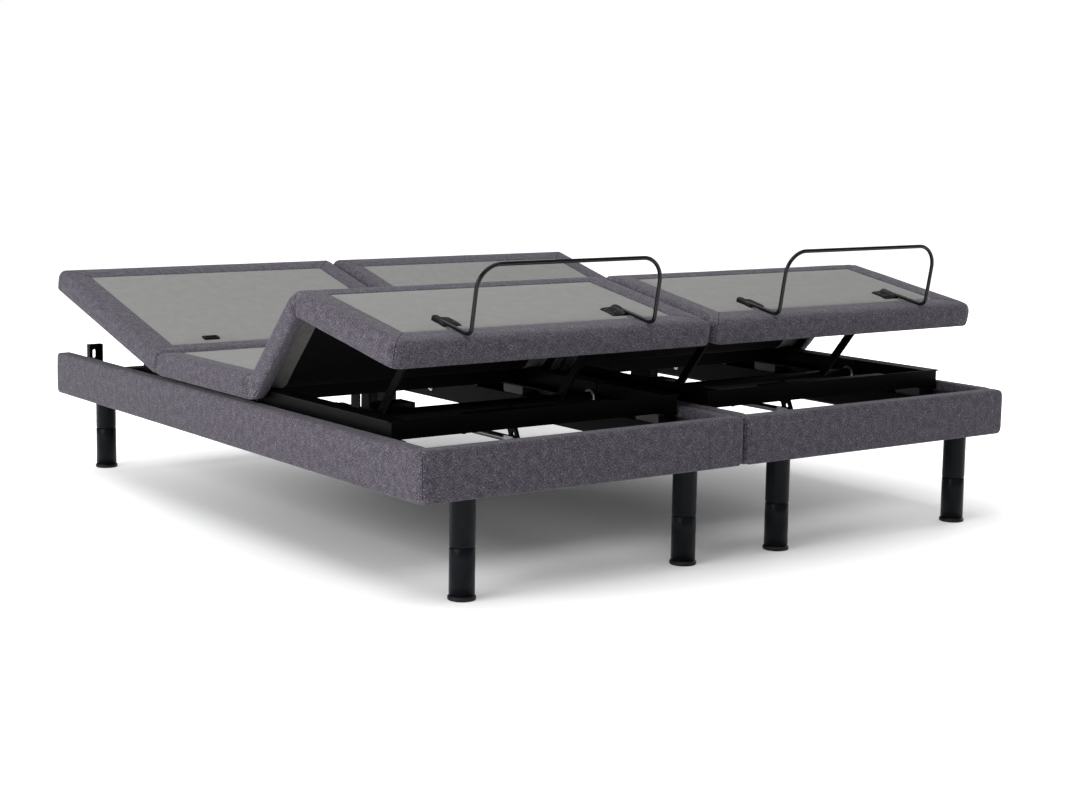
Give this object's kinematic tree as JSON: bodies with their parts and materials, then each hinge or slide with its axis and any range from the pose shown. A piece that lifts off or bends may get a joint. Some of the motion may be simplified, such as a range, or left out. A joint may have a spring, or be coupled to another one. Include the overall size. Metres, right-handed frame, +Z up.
{
  "type": "adjustable bed base",
  "caption": "Split adjustable bed base on legs: upholstered rails, sliding carriages, and hinged back, seat, thigh and foot panels raised by linear actuators.",
  "frame": {"origin": "on the floor under the middle of the pair of bases", "axes": "+X to the right seen from the foot end, +Y towards the head end, +Z up"},
  "size_m": [1.9108, 2.032, 0.7577],
  "materials": {
    "upholstery": "heather grey-purple woven fabric",
    "plywood": "board with black lining cloth",
    "black_steel": "black powder coat",
    "bright_steel": "zinc plated",
    "nylon": "moulded nylon",
    "actuator_housing": "moulded plastic",
    "leg_plastic": "black moulded plastic"
  },
  "bodies": {
    "base": {"legs_upper": "leg_plastic", "legs_lower": "leg_plastic", "leg_glides": "leg_plastic", "headboard_brackets": "black_steel", "rail_bolts": "bright_steel", "left_base_frame": "black_steel", "left_outer_rail": "upholstery", "left_inner_rail": "upholstery", "left_foot_rail": "upholstery", "right_base_frame": "black_steel", "right_outer_rail": "upholstery", "right_inner_rail": "upholstery", "right_foot_rail": "upholstery"},
    "left_carriage": {"left_carriage_frame": "black_steel", "left_carriage_glides": "nylon", "left_seat_board": "plywood", "left_seat_cover": "upholstery", "left_head_actuator": "actuator_housing", "left_leg_actuator": "actuator_housing", "left_control_box": "actuator_housing"},
    "left_head_panel": {"left_head_board": "plywood", "left_head_cover": "upholstery"},
    "left_thigh_panel": {"left_thigh_board": "plywood", "left_thigh_cover": "upholstery"},
    "left_foot_panel": {"left_foot_board": "plywood", "left_foot_cover": "upholstery", "left_retainer_bar": "black_steel", "left_retainer_plates": "black_steel"},
    "left_head_lift": {"left_head_lift_tube": "black_steel", "left_head_lift_rollers": "nylon"},
    "left_leg_lift": {"left_leg_lift_tube": "black_steel", "left_leg_lift_rollers": "nylon"},
    "left_head_rod": {"left_head_actuator_rod": "bright_steel"},
    "left_leg_rod": {"left_leg_actuator_rod": "bright_steel"},
    "right_carriage": {"right_carriage_frame": "black_steel", "right_carriage_glides": "nylon", "right_seat_board": "plywood", "right_seat_cover": "upholstery", "right_head_actuator": "actuator_housing", "right_leg_actuator": "actuator_housing", "right_control_box": "actuator_housing"},
    "right_head_panel": {"right_head_board": "plywood", "right_head_cover": "upholstery"},
    "right_thigh_panel": {"right_thigh_board": "plywood", "right_thigh_cover": "upholstery"},
    "right_foot_panel": {"right_foot_board": "plywood", "right_foot_cover": "upholstery", "right_retainer_bar": "black_steel", "right_retainer_plates": "black_steel"},
    "right_head_lift": {"right_head_lift_tube": "black_steel", "right_head_lift_rollers": "nylon"},
    "right_leg_lift": {"right_leg_lift_tube": "black_steel", "right_leg_lift_rollers": "nylon"},
    "right_head_rod": {"right_head_actuator_rod": "bright_steel"},
    "right_leg_rod": {"right_leg_actuator_rod": "bright_steel"}
  },
  "joints": [
    {"name": "left_carriage_slide", "type": "slide", "parent": "base", "child": "left_carriage", "axis": [0, 1, 0], "range_m": [-0.045, 0.135]},
    {"name": "left_head_tilt", "type": "hinge", "parent": "left_carriage", "child": "left_head_panel", "pos_m": [-0.4779, 0.318, 0.428], "axis": [1, 0, 0], "range_deg": [-15, 45]},
    {"name": "left_head_lift_turn", "type": "hinge", "parent": "left_carriage", "child": "left_head_lift", "pos_m": [-0.4779, 0.333, 0.352], "axis": [1, 0, 0], "range_deg": [-13.9, 41.7]},
    {"name": "left_head_rod_slide", "type": "slide", "parent": "left_carriage", "child": "left_head_rod", "axis": [0, 1, 0], "range_m": [-0.02215, 0.06646]},
    {"name": "left_thigh_tilt", "type": "hinge", "parent": "left_carriage", "child": "left_thigh_panel", "pos_m": [-0.4779, -0.208, 0.428], "axis": [-1, 0, 0], "range_deg": [-47.5, 0]},
    {"name": "left_foot_tilt", "type": "hinge", "parent": "left_thigh_panel", "child": "left_foot_panel", "pos_m": [-0.4779, -0.44748, 0.60054], "axis": [1, 0, 0], "range_deg": [-57.7, 0]},
    {"name": "left_leg_lift_turn", "type": "hinge", "parent": "left_carriage", "child": "left_leg_lift", "pos_m": [-0.4779, -0.515, 0.352], "axis": [-1, 0, 0], "range_deg": [-50, 0]},
    {"name": "left_leg_rod_slide", "type": "slide", "parent": "left_carriage", "child": "left_leg_rod", "axis": [0, -1, 0], "range_m": [-0.0803, 0]},
    {"name": "right_carriage_slide", "type": "slide", "parent": "base", "child": "right_carriage", "axis": [0, 1, 0], "range_m": [-0.045, 0.135]},
    {"name": "right_head_tilt", "type": "hinge", "parent": "right_carriage", "child": "right_head_panel", "pos_m": [0.4779, 0.318, 0.428], "axis": [1, 0, 0], "range_deg": [-15, 45]},
    {"name": "right_head_lift_turn", "type": "hinge", "parent": "right_carriage", "child": "right_head_lift", "pos_m": [0.4779, 0.333, 0.352], "axis": [1, 0, 0], "range_deg": [-13.9, 41.7]},
    {"name": "right_head_rod_slide", "type": "slide", "parent": "right_carriage", "child": "right_head_rod", "axis": [0, 1, 0], "range_m": [-0.02215, 0.06646]},
    {"name": "right_thigh_tilt", "type": "hinge", "parent": "right_carriage", "child": "right_thigh_panel", "pos_m": [0.4779, -0.208, 0.428], "axis": [-1, 0, 0], "range_deg": [-47.5, 0]},
    {"name": "right_foot_tilt", "type": "hinge", "parent": "right_thigh_panel", "child": "right_foot_panel", "pos_m": [0.4779, -0.44748, 0.60054], "axis": [1, 0, 0], "range_deg": [-57.7, 0]},
    {"name": "right_leg_lift_turn", "type": "hinge", "parent": "right_carriage", "child": "right_leg_lift", "pos_m": [0.4779, -0.515, 0.352], "axis": [-1, 0, 0], "range_deg": [-50, 0]},
    {"name": "right_leg_rod_slide", "type": "slide", "parent": "right_carriage", "child": "right_leg_rod", "axis": [0, -1, 0], "range_m": [-0.0803, 0]}
  ],
  "couplings": [
    {"joint": "left_head_tilt", "follows": "left_carriage_slide", "rad_per_m": 5.8177},
    {"joint": "left_head_lift_turn", "follows": "left_carriage_slide", "rad_per_m": 5.3911},
    {"joint": "left_head_rod_slide", "follows": "left_carriage_slide", "ratio": 0.49229},
    {"joint": "left_foot_tilt", "follows": "left_thigh_tilt", "ratio": 1.2147},
    {"joint": "left_leg_lift_turn", "follows": "left_thigh_tilt", "ratio": 1.0526},
    {"joint": "left_leg_rod_slide", "follows": "left_thigh_tilt", "m_per_rad": 0.096856},
    {"joint": "right_head_tilt", "follows": "right_carriage_slide", "rad_per_m": 5.8177},
    {"joint": "right_head_lift_turn", "follows": "right_carriage_slide", "rad_per_m": 5.3911},
    {"joint": "right_head_rod_slide", "follows": "right_carriage_slide", "ratio": 0.49229},
    {"joint": "right_foot_tilt", "follows": "right_thigh_tilt", "ratio": 1.2147},
    {"joint": "right_leg_lift_turn", "follows": "right_thigh_tilt", "ratio": 1.0526},
    {"joint": "right_leg_rod_slide", "follows": "right_thigh_tilt", "m_per_rad": 0.096856}
  ]
}
